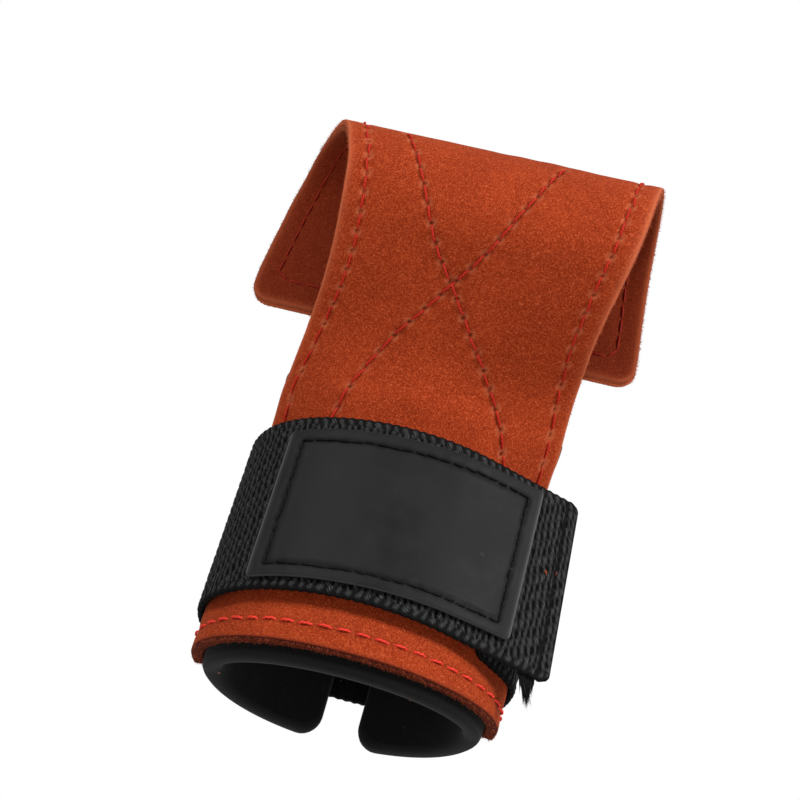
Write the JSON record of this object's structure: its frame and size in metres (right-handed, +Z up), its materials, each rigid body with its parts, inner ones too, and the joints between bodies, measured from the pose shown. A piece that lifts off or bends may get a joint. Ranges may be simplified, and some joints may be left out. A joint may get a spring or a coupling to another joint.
{
  "type": "weightlifting hand grip",
  "caption": "Suede leather hand grip for lifting: long palm leather curled as over a bar, padded wrist wrap, webbing strap closed round the wrist and a bare stitched patch.",
  "frame": {"origin": "centre of the wrist hollow, level with the middle of the strap", "axes": "+Z up the wrist towards the fingers, +X across the palm towards the strap's free end, +Y from the palm face to the back of the wrist"},
  "size_m": [0.1044, 0.0974, 0.1467],
  "materials": {
    "suede": "napped suede",
    "suede_backing": "napped suede",
    "neoprene": "matt knit-faced foam",
    "webbing": "woven nylon",
    "fastening_tape": "hook and loop pile",
    "patch": "smooth, faintly mottled"
  },
  "bodies": {
    "root": {"wrist_pad": "neoprene", "palm_leather": "suede", "backing_leather": "suede_backing", "strap": "webbing", "loop_tape": "fastening_tape", "hook_tape": "fastening_tape", "patch": "patch"}
  },
  "joints": []
}
